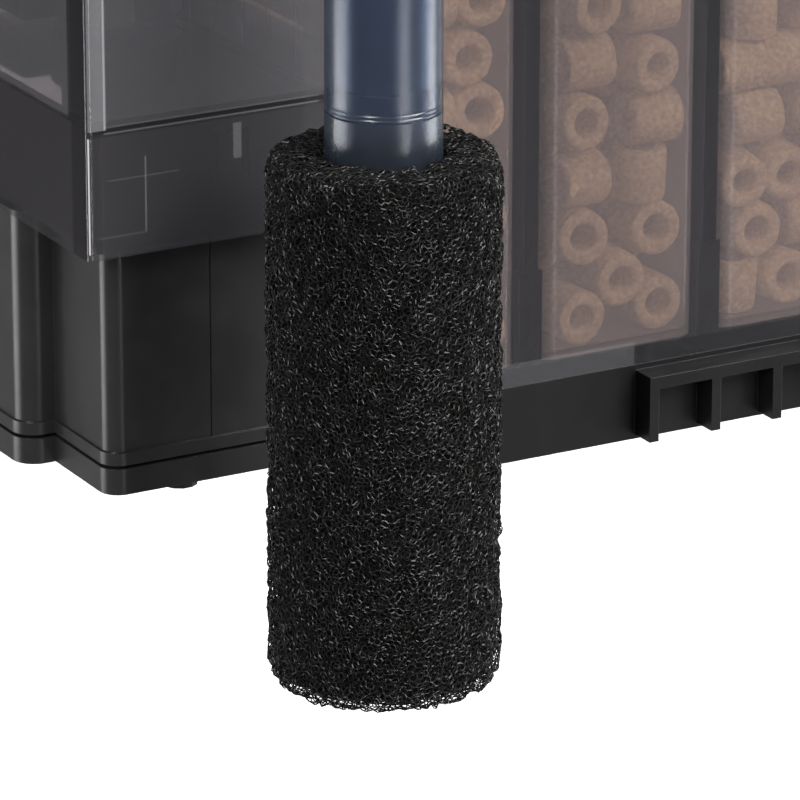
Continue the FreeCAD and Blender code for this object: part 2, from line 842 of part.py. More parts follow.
def prefilter_sponge():
    # each rim is rounded by two short slopes
    x, y = tube_x, tube_y
    flat = sponge_radius - sponge_rim
    soft = sponge_rim * (1 - math.sqrt(0.5))
    body = fused([
        tapered(flat, sponge_radius - soft, x, y, sponge_bottom, sponge_bottom + soft),
        tapered(sponge_radius - soft, sponge_radius, x, y, sponge_bottom + soft,
                sponge_bottom + sponge_rim),
        rod(sponge_radius, x, y, sponge_bottom + sponge_rim, sponge_top - sponge_rim),
        tapered(sponge_radius, sponge_radius - soft, x, y, sponge_top - sponge_rim,
                sponge_top - soft),
        tapered(sponge_radius - soft, flat, x, y, sponge_top - soft, sponge_top)])
    return body.cut(rod(tube_radius + fit, x, y, strainer_bottom - fit, sponge_top + 1))


nodes = {
    "housing": housing(),
    "lid": lid(),
    "base_tray": base_tray(),
    "motor_base": motor_base(),
    "motor_cover": motor_cover(),
    "motor_base_cap": motor_base_cap(),
    "base_cap_screws": base_cap_screws(),
    "base_feet": base_feet(),
    "cable_gland": cable_gland(),
    "rotor_well": rotor_well(),
    "well_gasket": well_gasket(),
    "lower_bearing": lower_bearing(),
    "upper_bearing": upper_bearing(),
    "impeller_shaft": impeller_shaft(),
    "rotor_magnet": rotor_magnet(),
    "impeller": impeller(),
    "impeller_cover": impeller_cover(),
    "stator_core": stator_core(),
    "stator_coils": stator_coils(),
    "down_pipe": down_pipe(),
    "intake_elbow": intake_elbow(),
    "tube_seal": tube_seal(),
    "flow_lever": flow_lever(),
    "flow_valve": flow_valve(),
    "intake_tube": intake_tube(),
    "strainer": strainer(),
    "prefilter_sponge": prefilter_sponge(),
}
for number in range(1, compartment_count):
    nodes[f"divider_{number}"] = divider(number)
for number in range(compartment_count):
    nodes[f"cartridge_{number + 1}"] = cartridge(number)
    nodes[f"ceramic_rings_{number + 1}"] = ceramic_rings(number)

os.makedirs("parts", exist_ok=True)
for name, shape in nodes.items():
    shape.exportStep(f"parts/{name}.step")
    low = shape.BoundBox
    print(f"{name}: {len(shape.Solids)} solids, valid {shape.isValid()}, "
          f"{low.XLength:.1f} x {low.YLength:.1f} x {low.ZLength:.1f}")
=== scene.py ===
# Hang-on-back aquarium filter: materials, foam sleeve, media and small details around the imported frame.
import bpy
import json
import math
import random
from mathutils import Matrix, Vector

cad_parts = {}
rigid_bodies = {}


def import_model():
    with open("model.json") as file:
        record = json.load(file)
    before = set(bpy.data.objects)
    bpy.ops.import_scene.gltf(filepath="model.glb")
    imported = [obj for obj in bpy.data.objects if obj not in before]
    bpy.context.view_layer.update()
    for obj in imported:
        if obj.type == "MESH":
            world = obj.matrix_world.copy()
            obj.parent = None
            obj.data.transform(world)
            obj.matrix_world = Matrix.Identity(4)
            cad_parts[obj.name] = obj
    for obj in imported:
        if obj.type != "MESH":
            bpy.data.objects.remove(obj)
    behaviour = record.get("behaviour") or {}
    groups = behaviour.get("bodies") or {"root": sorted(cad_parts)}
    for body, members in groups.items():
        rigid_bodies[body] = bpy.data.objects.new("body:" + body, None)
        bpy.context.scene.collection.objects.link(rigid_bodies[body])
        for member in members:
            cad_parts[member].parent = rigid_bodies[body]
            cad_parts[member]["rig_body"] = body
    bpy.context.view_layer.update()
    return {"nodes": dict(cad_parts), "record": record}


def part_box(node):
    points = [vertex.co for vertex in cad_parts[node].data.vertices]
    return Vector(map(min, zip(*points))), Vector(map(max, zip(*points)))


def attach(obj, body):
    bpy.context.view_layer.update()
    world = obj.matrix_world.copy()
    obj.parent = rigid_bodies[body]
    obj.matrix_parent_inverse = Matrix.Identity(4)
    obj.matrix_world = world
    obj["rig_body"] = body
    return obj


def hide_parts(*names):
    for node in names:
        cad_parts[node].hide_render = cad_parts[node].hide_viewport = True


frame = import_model()
nodes = frame["nodes"]
scene = bpy.context.scene
mm = 0.001
near = 0.001 * mm  # two measures this close are the same
upright = 0.99  # Z part of the normal on a face that looks straight up or down
print("frame loaded:", len(nodes), "nodes")


# helpers for objects and meshes
def deselectAll():
    if bpy.context.object and bpy.context.object.mode != "OBJECT":
        bpy.ops.object.mode_set(mode="OBJECT")
    bpy.ops.object.select_all(action="DESELECT")


def makeActive(piece):
    deselectAll()
    piece.select_set(True)
    bpy.context.view_layer.objects.active = piece


def settle(piece, name):  # moves the origin to the world's and names object and mesh alike
    makeActive(piece)
    piece.name = name
    piece.data.name = name
    bpy.ops.object.transform_apply(location=True, rotation=True, scale=True)
    return piece


def joined(pieces):
    deselectAll()
    for piece in pieces:
        piece.select_set(True)
    bpy.context.view_layer.objects.active = pieces[0]
    bpy.ops.object.join()
    return pieces[0]


def applyModifier(piece, kind, **values):
    makeActive(piece)
    modifier = piece.modifiers.new(kind.title(), kind)
    for key, value in values.items():
        setattr(modifier, key, value)
    bpy.ops.object.modifier_apply(modifier=modifier.name)


def selectWhere(piece, faceTest=None, edgeTest=None):  # leaves the piece in edit mode
    makeActive(piece)
    bpy.ops.object.mode_set(mode="EDIT")
    bpy.ops.mesh.select_all(action="DESELECT")
    bpy.ops.mesh.select_mode(type="FACE" if faceTest else "EDGE")
    bpy.ops.object.mode_set(mode="OBJECT")
    mesh = piece.data
    if faceTest:
        for face in mesh.polygons:
            face.select = bool(faceTest(face))
    else:
        for edge in mesh.edges:
            a, b = (mesh.vertices[i].co for i in edge.vertices)
            edge.select = bool(edgeTest(a, b))
    bpy.ops.object.mode_set(mode="EDIT")


def finishPiece(piece, body, material, smoothAngle=None):
    piece.data.materials.clear()
    piece.data.materials.append(material)
    if smoothAngle is not None:
        makeActive(piece)
        bpy.ops.object.shade_smooth_by_angle(angle=math.radians(smoothAngle))
    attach(piece, body)
    return piece


# camera: turn and height in degrees; the target is across and up from the housing's corner, in mm
cameraSettings = {
    "lens": 270, "sensor": 36, "distance": 1.2868, "turn": 28.91, "height": 19.42,
    "target": (66.66, -29.41), "corner": (-103.45, 12.0, -97.0),
}


def placeCamera(s):
    turn, rise = math.radians(s["turn"]), math.radians(s["height"])
    back = Vector((-math.sin(turn) * math.cos(rise), -math.cos(turn) * math.cos(rise), math.sin(rise)))
    right = Vector((math.cos(turn), -math.sin(turn), 0))
    up = back.cross(right)
    target = Vector(s["corner"]) * mm + right * s["target"][0] * mm + up * s["target"][1] * mm
    data = bpy.data.cameras.new("Camera")
    data.lens, data.sensor_width = s["lens"], s["sensor"]
    data.clip_start, data.clip_end = 0.05, 50
    camera = bpy.data.objects.new("Camera", data)
    scene.collection.objects.link(camera)
    camera.location = target + back * s["distance"]
    camera.rotation_mode = "QUATERNION"
    camera.rotation_quaternion = back.to_track_quat("Z", "Y")
    scene.camera = camera


placeCamera(cameraSettings)

# stage: the floor lights whiten the floor in view, and the strips draw the upright bands on the tube
stageSettings = {
    "world": 0.30, "floor": -0.42, "floorSize": 30,
    "lights": [  # name, place, aimed at, size, watts, spread in degrees
        ("keyLight", (-1.15, -0.75, 0.62), (0, 0, -0.1), (0.35, 0.8), 2.9, 70),
        ("sideLight", (0.9, -1.0, 0.7), (0, 0, -0.1), (0.4, 0.6), 2.0, 60),
        ("frontLight", (0.5, -1.35, 1.0), (0.05, 0, -0.1), (0.8, 0.6), 4.0, 60),
        ("topLight", (0.0, 0.1, 1.4), (0, 0, -0.1), (0.8, 0.6), 1.5, 60),
        ("backPanel", (0.75, 1.5, 0.5), (0, 0, -0.07), (1.3, 0.8), 8.0, 180),
        ("floorLight", (0.48, 0.82, 0.9), (0.27, 0.53, -0.42), (0.4, 0.4), 5.2, 45),
        ("frontFloorLight", (0.8, -1.2, 0.9), (0.5, -0.8, -0.42), (0.6, 0.6), 3.6, 60),
        ("leftStrip", (-0.74, 0.38, -0.34), (-0.056, -0.033, -0.05), (0.5, 0.2), 0.55, 90),
        ("nearStrip", (0.11, -0.815, -0.34), (-0.056, -0.033, -0.05), (0.3, 0.2), 0.3, 90),
        ("rightStrip", (0.72, -0.21, -0.34), (-0.056, -0.033, -0.05), (0.36, 0.2), 0.4, 90),
    ],
}


def placeLights(s):
    world = bpy.data.worlds.new("Studio")
    world.use_nodes = True
    world.node_tree.nodes["Background"].inputs["Color"].default_value = (1, 1, 1, 1)
    world.node_tree.nodes["Background"].inputs["Strength"].default_value = s["world"]
    scene.world = world
    scene.view_settings.view_transform = "Standard"
    for name, place, aim, size, power, spread in s["lights"]:
        data = bpy.data.lights.new(name, "AREA")
        data.shape, data.size, data.size_y, data.energy = "RECTANGLE", size[0], size[1], power
        data.spread = math.radians(spread)
        light = bpy.data.objects.new(name, data)
        scene.collection.objects.link(light)
        light.location = place
        light.visible_camera = False
        light.rotation_mode = "QUATERNION"
        light.rotation_quaternion = (Vector(place) - Vector(aim)).to_track_quat("Z", "Y")


placeLights(stageSettings)
print("camera and lights placed")


# helpers for materials
class Nodes:
    def __init__(self, name):
        self.material = bpy.data.materials.new(name)
        self.material.use_nodes = True
        self.tree = self.material.node_tree
        self.tree.nodes.clear()
        self.output = self.tree.nodes.new("ShaderNodeOutputMaterial")
        self.coordinates = self.tree.nodes.new("ShaderNodeTexCoord").outputs["Object"]

    # a value goes to the node's own setting if it has one by that name, otherwise to its socket
    def add(self, kind, links=None, **values):
        node = self.tree.nodes.new(kind)
        for key, value in values.items():
            if hasattr(node, key) and key not in node.inputs:
                setattr(node, key, value)
            else:
                node.inputs[key].default_value = value
        for key, socket in (links or {}).items():
            self.tree.links.new(socket, node.inputs[key])
        return node

    def link(self, a, b):
        self.tree.links.new(a, b)


def noise(n, scale, detail):
    return n.add("ShaderNodeTexNoise", {"Vector": n.coordinates}, Scale=scale, Detail=detail).outputs["Fac"]


def ramp(n, source, lowColour, highColour, low=0.35, high=0.65):
    node = n.add("ShaderNodeValToRGB", {"Fac": source})
    node.color_ramp.elements[0].position = low
    node.color_ramp.elements[1].position = high
    node.color_ramp.elements[0].color = (*lowColour, 1)
    node.color_ramp.elements[1].color = (*highColour, 1)
    return node.outputs["Color"]


def mapped(n, source, low, high, start=0.0, end=1.0):
    limits = {"From Min": start, "From Max": end, "To Min": low, "To Max": high}
    return n.add("ShaderNodeMapRange", {"Value": source}, **limits).outputs["Result"]


def combine(n, operation, *values):
    node = n.add("ShaderNodeMath", operation=operation)
    for socket, value in zip(node.inputs, values):
        if isinstance(value, (int, float)):
            socket.default_value = value
        else:
            n.link(value, socket)
    return node.outputs[0]


def between(n, axis, low, high, soft):  # 1 from low to high along the axis, 0 outside, limits in mm
    middle, half = (low + high) / 2 * mm, (high - low) / 2 * mm
    away = combine(n, "ABSOLUTE", combine(n, "SUBTRACT", axis, middle))
    return mapped(n, away, 1.0, 0.0, half - soft * mm / 2, half + soft * mm / 2)


def mirrored(n, shader, index, roughness):  # a mirror over a clear wall, only where its surface faces out
    gloss = n.add("ShaderNodeBsdfGlossy", Roughness=roughness)
    fresnel = n.add("ShaderNodeFresnel", IOR=index)
    front = combine(n, "SUBTRACT", 1.0, n.add("ShaderNodeNewGeometry").outputs["Backfacing"])
    share = combine(n, "MULTIPLY", fresnel.outputs["Fac"], front)
    whole = n.add("ShaderNodeMixShader", {0: share, 1: shader.outputs["Shader"], 2: gloss.outputs["BSDF"]})
    n.link(whole.outputs["Shader"], n.output.inputs["Surface"])
    return n.material


# smoky wall: light passes straight through a tint, with a haze, painted light in pale lines and patches that
# stand in for highlights, reflections and light seen through the wall, and a mirror
wallSettings = {
    "tint": (0.72, 0.695, 0.705), "index": 1.38, "mirror": 0.05,
    "haze": (0.018, 0.009), "hazeColour": (0.79, 0.775, 0.87),  # haze on the front, then on the side
    "sideFace": (-0.5, 0.05), "frontFace": (-0.5, 0.35), "faceSoft": 0.1,  # mm from the corner
    # painted shade: a dark violet tint on the side wall next to the front corner, standing in for the shade
    # of the rounded corner seen at a slant
    "cornerShade": (-1.0, 7.6), "cornerShadeSoft": 1.2, "cornerShadeTint": (0.2, 0.17, 0.25),  # dark thick corner on the side
    "paintedLightColour": (0.86, 0.86, 0.9), "paintedLightSoft": 0.25,
    # painted light on the front, as painted highlight lines and brightened patches: across from the corner,
    # height over the skirt's edge, strength
    "frontPaintedLight": [
        ((1.0, 62.0), (0.3, 27.5), 0.014), ((4.4, 62.0), (29.5, 120.0), 0.044),
        ((0.3, 4.2), (29.0, 120.0), 0.13), ((4.0, 4.5), (29.0, 120.0), 0.22),
        ((0.0, 0.5), (1.5, 27.5), 0.6), ((13.6, 14.0), (5.0, 22.0), 0.08),
        ((2.0, 14.0), (4.7, 5.1), 0.025), ((5.0, 22.0), (17.4, 17.7), 0.04),
        ((4.0, 56.0), (28.0, 28.4), 0.08), ((4.0, 56.0), (29.4, 29.7), 0.05),
        ((35.0, 37.0), (18.2, 26.2), 0.07), ((64.0, 137.0), (-46.0, -40.5), 0.035),
    ],
    # painted light on the side wall, brightening its upper part: across from the front, height over the
    # skirt's edge, strength
    "sidePaintedLight": ((9.0, 110.0), (30.5, 120.0), 0.045),
}


def smokyWall(name, s):
    left, front, skirt = cameraSettings["corner"]
    n = Nodes(name)
    axes = n.add("ShaderNodeSeparateXYZ", {0: n.coordinates}).outputs

    def zone(axis, origin, limits, soft):
        return between(n, axes[axis], origin + limits[0], origin + limits[1], soft)

    # a patch of painted light on the wall
    def paintedPatch(axis, origin, across, rise):
        return combine(n, "MULTIPLY", zone(axis, origin, across, s["paintedLightSoft"]),
                       zone("Z", skirt, rise, s["paintedLightSoft"]))

    sideFace = zone("X", left, s["sideFace"], s["faceSoft"])
    frontFace = zone("Y", front, s["frontFace"], s["faceSoft"])
    # painted shade on the side wall by the corner
    cornerShade = combine(n, "MULTIPLY", sideFace, zone("Y", front, s["cornerShade"], s["cornerShadeSoft"]))
    share = None
    # the painted highlight lines and brightened patches, summed over the front face
    for across, rise, strength in s["frontPaintedLight"]:
        part = combine(n, "MULTIPLY", paintedPatch("X", left, across, rise), strength)
        share = part if share is None else combine(n, "ADD", share, part)
    share = combine(n, "MULTIPLY", share, frontFace)
    across, rise, strength = s["sidePaintedLight"]
    sideShare = combine(n, "MULTIPLY", paintedPatch("Y", front, across, rise), sideFace)
    share = combine(n, "ADD", share, combine(n, "MULTIPLY", sideShare, strength))

    # the wall's tint, turned to the painted shade tint by the corner
    tint = n.add("ShaderNodeMix", {0: cornerShade}, data_type="RGBA")
    tint.inputs[6].default_value = (*s["tint"], 1)  # the colours are this node's sockets 6 and 7
    tint.inputs[7].default_value = (*s["cornerShadeTint"], 1)
    through = n.add("ShaderNodeBsdfTransparent", {"Color": tint.outputs[2]})
    veil = n.add("ShaderNodeBsdfDiffuse", Color=(*s["hazeColour"], 1))
    haze = mapped(n, sideFace, *s["haze"])
    cloudy = n.add("ShaderNodeMixShader", {0: haze, 1: through.outputs["BSDF"], 2: veil.outputs["BSDF"]})
    # painted light: a pale diffuse colour laid over the wall wherever the painted highlights, reflections and
    # brightened patches lie
    paintedLightShader = n.add("ShaderNodeBsdfDiffuse", Color=(*s["paintedLightColour"], 1))
    withPaintedLight = n.add("ShaderNodeMixShader", {0: share, 1: cloudy.outputs["Shader"], 2: paintedLightShader.outputs["BSDF"]})
    return mirrored(n, withPaintedLight, s["index"], s["mirror"])


# milky clear plastic of the cartridges
hazySettings = {
    "tint": (0.97, 0.95, 0.93), "index": 1.49, "mirror": 0.12,
    "haze": (0.19, 0.25), "hazeColour": (0.74, 0.66, 0.58), "hazeScale": 90,
}


def hazyWall(name, s):
    n = Nodes(name)
    through = n.add("ShaderNodeBsdfTransparent", Color=(*s["tint"], 1))
    veil = n.add("ShaderNodeBsdfDiffuse", Color=(*s["hazeColour"], 1))
    haze = mapped(n, noise(n, s["hazeScale"], 3), *s["haze"])
    cloudy = n.add("ShaderNodeMixShader", {0: haze, 1: through.outputs["BSDF"], 2: veil.outputs["BSDF"]})
    return mirrored(n, cloudy, s["index"], s["mirror"])


# blue plastic of the tube, which does refract
blueSettings = {"tint": (0.37, 0.46, 0.61), "roughness": 0.27, "index": 1.49, "transmission": 0.978}


def tintedPlastic(name, s):
    n = Nodes(name)
    shader = n.add("ShaderNodeBsdfPrincipled", Roughness=s["roughness"], IOR=s["index"])
    shader.inputs["Base Color"].default_value = (*s["tint"], 1)
    shader.inputs["Transmission Weight"].default_value = s["transmission"]
    n.link(shader.outputs["BSDF"], n.output.inputs["Surface"])
    return n.material


# closed materials: two colours that the mottling runs between, range of roughness,
# and grain as its scale and its height in metres
solidSettings = {
    "blackPlastic": {"colours": ((0.0065, 0.006, 0.0062), (0.009, 0.0084, 0.0087)),
                     "roughness": (0.26, 0.36), "grain": (2600, 3e-6), "specular": 0.34},
    # painted light: a lighter copy of black plastic for the motor base and its cap, whose front lies in the
    # sponge's shadow
    "litBlackPlastic": {"colours": ((0.017, 0.0162, 0.0165), (0.023, 0.022, 0.0225)),
                          "roughness": (0.26, 0.36), "grain": (2600, 3e-6), "specular": 0.38},
    # painted shade: a darker copy of black plastic for the tray and its ribs
    "shadedBlackPlastic": {"colours": ((0.0055, 0.005, 0.0055), (0.0075, 0.007, 0.0078)),
                         "roughness": (0.28, 0.38), "grain": (2600, 3e-6), "specular": 0.25},
    "whitePlastic": {"colours": ((0.72, 0.72, 0.7), (0.8, 0.8, 0.78)),
                     "roughness": (0.3, 0.42), "grain": (1500, 3e-6)},
    "blackRubber": {"colours": ((0.016, 0.016, 0.016), (0.026, 0.026, 0.026)),
                    "roughness": (0.6, 0.75), "grain": (1800, 1e-5)},
    "foamPlastic": {"colours": ((0.003, 0.0027, 0.0026), (0.006, 0.0053, 0.005)),
                    "roughness": (0.2, 0.42), "specular": 0.23, "mottling": 400},
    "foamDark": {"colours": ((0.003, 0.003, 0.003), (0.009, 0.009, 0.009)),
                 "roughness": (0.85, 0.95), "grain": (900, 2e-4), "specular": 0.1, "mottling": 500},
    "mediaCeramic": {"colours": ((0.62, 0.44, 0.25), (0.95, 0.77, 0.50)),
                     "roughness": (0.85, 0.95), "grain": (1400, 1.5e-4), "specular": 0.1, "mottling": 900},
    "shaftCeramic": {"colours": ((0.82, 0.81, 0.78), (0.88, 0.87, 0.84)), "roughness": (0.12, 0.2)},
    "magnetFerrite": {"colours": ((0.05, 0.05, 0.052), (0.075, 0.075, 0.078)),
                      "roughness": (0.5, 0.7), "grain": (1500, 1e-5)},
    "coreSteel": {"colours": ((0.38, 0.39, 0.4), (0.5, 0.51, 0.52)),
                  "roughness": (0.35, 0.5), "grain": (900, 2e-5), "metallic": 1.0},
    "copperWinding": {"colours": ((0.55, 0.2, 0.08), (0.68, 0.3, 0.14)),
                      "roughness": (0.3, 0.4), "grain": (900, 2e-5), "metallic": 1.0},
    "screwSteel": {"colours": ((0.5, 0.5, 0.51), (0.62, 0.62, 0.63)),
                   "roughness": (0.25, 0.35), "metallic": 1.0},
    "paleFloor": {"colours": ((0.3, 0.3, 0.3), (0.31, 0.31, 0.31)),
                  "roughness": (0.9, 0.95), "specular": 0.1, "mottling": 2},
}


def solid(name, colours, roughness, grain=None, specular=0.5, metallic=0.0, mottling=60):
    n = Nodes(name)
    shader = n.add("ShaderNodeBsdfPrincipled", Metallic=metallic)
    shader.inputs["Specular IOR Level"].default_value = specular
    n.link(ramp(n, noise(n, mottling, 4), *colours), shader.inputs["Base Color"])
    n.link(mapped(n, noise(n, mottling * 4, 3), *roughness), shader.inputs["Roughness"])
    if grain:
        bump = n.add("ShaderNodeBump", {"Height": noise(n, grain[0], 2)}, Distance=grain[1])
        n.link(bump.outputs["Normal"], shader.inputs["Normal"])
    n.link(shader.outputs["BSDF"], n.output.inputs["Surface"])
    return n.material


smoky = smokyWall("smokyAcrylic", wallSettings)
hazy = hazyWall("hazyClearPlastic", hazySettings)
blueTint = tintedPlastic("blueTintPlastic", blueSettings)
solids = {name: solid(name, **values) for name, values in solidSettings.items()}
slotMaterials = {
    "smoky_acrylic": smoky, "clear_plastic": hazy, "blue_tint_plastic": blueTint,
    "black_plastic": solids["blackPlastic"], "white_plastic": solids["whitePlastic"],
    "black_foam": solids["foamDark"], "black_rubber": solids["blackRubber"],
    "media_ceramic": solids["mediaCeramic"], "shaft_ceramic": solids["shaftCeramic"],
    "magnet": solids["magnetFerrite"], "core_steel": solids["coreSteel"],
    "copper_winding": solids["copperWinding"], "screw_steel": solids["screwSteel"],
}
# lighter and darker copies of black plastic: painted light on the motor base and its cap, painted shade on
# the tray
litAndShadedCopies = {  # pieces that differ from their slot's material
    "motor_base": solids["litBlackPlastic"], "motor_base_cap": solids["litBlackPlastic"],
    "base_tray": solids["shadedBlackPlastic"],
}
slotOf = {part["node"]: part["material_slot"] for part in frame["record"]["subparts"]}
for name, slot in slotOf.items():
    data = nodes[name].data
    data.materials.clear()
    data.materials.append(slotMaterials[slot])
print("materials made")

deselectAll()
bpy.ops.mesh.primitive_plane_add(size=stageSettings["floorSize"], location=(0, 0, stageSettings["floor"]))
floor = settle(bpy.context.object, "paleFloor")
floor.data.materials.append(solids["paleFloor"])


# foam sleeve: two nets of struts over a dark core, sizes in mm
foamSettings = {
    "sides": 96, "round": 3.5, "mouth": 5.0, "play": 0.3,  # edge radius, depth of the mouth, gap to the tube
    "nets": [("foamSkin", 0.3, 3), ("foamUnder", 1.4, 8)],  # name, inset, seed
    "cell": 2.1, "jitter": 0.75, "cut": 33, "cutJitter": 0.22, "strut": 0.42,  # cut: percent of an edge
    "core": 1.9, "coreMouth": 0.6, "coreSmooth": 40,
}


def foamBlank(name, inset, mouthInset, s):  # closed sleeve with rounded ends and a mouth around the tube
    low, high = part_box("prefilter_sponge")
    tubeLow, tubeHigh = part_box("intake_tube")
    radius = (high.x - low.x) / 2 - inset * mm
    mouthRadius = (tubeHigh.x - tubeLow.x) / 2 + (s["play"] + mouthInset) * mm
    rounding = s["round"] * mm
    top = high.z - inset * mm
    length = high.z - low.z - 2 * inset * mm
    deselectAll()
    bpy.ops.mesh.primitive_cylinder_add(vertices=s["sides"], radius=radius, depth=length,
                                        location=(low + high) / 2)
    piece = settle(bpy.context.object, name)
    selectWhere(piece, edgeTest=lambda a, b: abs(a.z - b.z) < near)
    bpy.ops.mesh.bevel(offset=rounding, segments=4)
    selectWhere(piece, faceTest=lambda f: f.normal.z > upright and f.center.z > top - 10 * near)
    bpy.ops.mesh.inset(thickness=radius - rounding - mouthRadius)
    bpy.ops.mesh.extrude_region_move(TRANSFORM_OT_translate={"value": (0, 0, -s["mouth"] * mm)})
    bpy.ops.object.mode_set(mode="OBJECT")
    return piece


def foamNet(name, inset, seed, s):  # even triangles with their corners cut off leave open cells
    piece = foamBlank(name, inset, inset, s)
    makeActive(piece)
    piece.data.remesh_voxel_size = s["cell"] * mm
    piece.data.remesh_voxel_adaptivity = 0
    bpy.ops.object.voxel_remesh()
    bpy.ops.object.mode_set(mode="EDIT")
    bpy.ops.mesh.select_mode(type="VERT")
    bpy.ops.mesh.select_all(action="SELECT")
    bpy.ops.mesh.quads_convert_to_tris(quad_method="BEAUTY", ngon_method="BEAUTY")
    bpy.ops.transform.vertex_random(offset=s["jitter"] * mm, uniform=1.0, normal=0.0, seed=seed)
    bpy.ops.mesh.beautify_fill()
    bpy.ops.mesh.bevel(offset_type="PERCENT", offset_pct=s["cut"], affect="VERTICES")
    bpy.ops.transform.vertex_random(offset=s["cutJitter"] * mm, uniform=1.0, normal=0.0, seed=seed + 1)
    bpy.ops.object.mode_set(mode="OBJECT")
    applyModifier(piece, "WIREFRAME", thickness=s["strut"] * mm, use_even_offset=False,
                  use_replace=True, use_boundary=True)
    applyModifier(piece, "SMOOTH", factor=0.5, iterations=2)
    print("foam net", name, len(piece.data.polygons), "faces")
    return piece


foamPieces = [foamNet(name, inset, seed, foamSettings) for name, inset, seed in foamSettings["nets"]]
for piece in foamPieces:
    finishPiece(piece, "prefilter_sponge", solids["foamPlastic"])
core = foamBlank("foamCore", foamSettings["core"], foamSettings["coreMouth"], foamSettings)
finishPiece(core, "prefilter_sponge", solids["foamDark"], foamSettings["coreSmooth"])
foam = joined(foamPieces)
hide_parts("prefilter_sponge")
print("foam made")

# moulded parts with rounded edges
softSettings = {
    "merge": 0.002, "flat": 1, "sharp": 40, "smooth": 35,  # mm, then angles in degrees
    "radius": {
        "housing": 0.35, "motor_base": 0.4, "motor_cover": 0.4, "motor_base_cap": 0.4, "base_tray": 0.4,
        "divider_1": 0.3, "divider_2": 0.3, "lid": 0.5, "flow_lever": 0.4, "intake_elbow": 0.4,
        "strainer": 0.3, "down_pipe": 0.3, "impeller_cover": 0.3,
        "cartridge_1": 0.25, "cartridge_2": 0.25, "cartridge_3": 0.25,
    },
}


def softened(name, radius, s):
    piece = bpy.data.objects.new("soft_" + name, nodes[name].data.copy())
    scene.collection.objects.link(piece)
    makeActive(piece)
    bpy.ops.object.mode_set(mode="EDIT")
    bpy.ops.mesh.select_all(action="SELECT")
    bpy.ops.mesh.remove_doubles(threshold=s["merge"] * mm)
    bpy.ops.mesh.dissolve_limited(angle_limit=math.radians(s["flat"]))
    bpy.ops.object.mode_set(mode="OBJECT")
    applyModifier(piece, "BEVEL", width=radius * mm, segments=2, limit_method="ANGLE",
                  angle_limit=math.radians(s["sharp"]), use_clamp_overlap=True)
    bpy.ops.object.shade_smooth_by_angle(angle=math.radians(s["smooth"]))
    applyModifier(piece, "WEIGHTED_NORMAL", weight=100, keep_sharp=True)  # keeps the broad faces flat
    return piece


for name, radius in softSettings["radius"].items():
    body = nodes[name]["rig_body"]
    slot = slotOf[name]
    piece = softened(name, radius, softSettings)
    finishPiece(piece, body, litAndShadedCopies.get(name, slotMaterials[slot]))
    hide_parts(name)
print("moulded parts softened")

# intake tube, with two ring lines over its joint, sizes in mm
tubeSettings = {
    "wall": 1.5, "lapWall": 0.75, "lap": 6.0, "lip": 0.35, "sides": 96, "smooth": 20,
    "lines": (0.9, 1.8), "lineHalf": 0.25, "lineDepth": 0.12,
}


def lathe(name, profile, x, y, sides):  # turns a closed profile of radius and height around the point x, y
    mesh = bpy.data.meshes.new(name)
    points = [(x + r * mm, y, z * mm) for r, z in profile]
    count = len(points)
    mesh.from_pydata(points, [(i, (i + 1) % count) for i in range(count)], [])
    piece = bpy.data.objects.new(name, mesh)
    scene.collection.objects.link(piece)
    makeActive(piece)
    bpy.ops.object.mode_set(mode="EDIT")
    bpy.ops.mesh.select_all(action="SELECT")
    bpy.ops.mesh.spin(steps=sides, angle=math.tau, center=(x, y, 0), axis=(0, 0, 1), use_auto_merge=True)
    bpy.ops.mesh.select_all(action="SELECT")
    bpy.ops.mesh.remove_doubles(threshold=near)
    bpy.ops.mesh.normals_make_consistent(inside=False)
    bpy.ops.object.mode_set(mode="OBJECT")
    return piece


def makeTube(s):
    low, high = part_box("intake_tube")
    middle = (low + high) / 2
    outer = (high.x - low.x) / 2 / mm
    bottom, top = low.z / mm, high.z / mm
    inner, lapRadius, lip = outer - s["wall"], outer - s["lapWall"], s["lip"]
    profile = [(lapRadius, bottom), (outer - lip, bottom), (outer, bottom + lip)]
    for height in s["lines"]:
        z = bottom + height
        profile += [(outer, z - s["lineHalf"]), (outer - s["lineDepth"], z), (outer, z + s["lineHalf"])]
    profile += [(outer, top - lip), (outer - lip, top), (inner + lip, top), (inner, top - lip),
                (inner, bottom + s["lap"]), (lapRadius, bottom + s["lap"])]
    return lathe("intakeTube", profile, middle.x, middle.y, s["sides"])


tube = makeTube(tubeSettings)
finishPiece(tube, "intake_tube", blueTint, tubeSettings["smooth"])
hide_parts("intake_tube")
print("tube made")

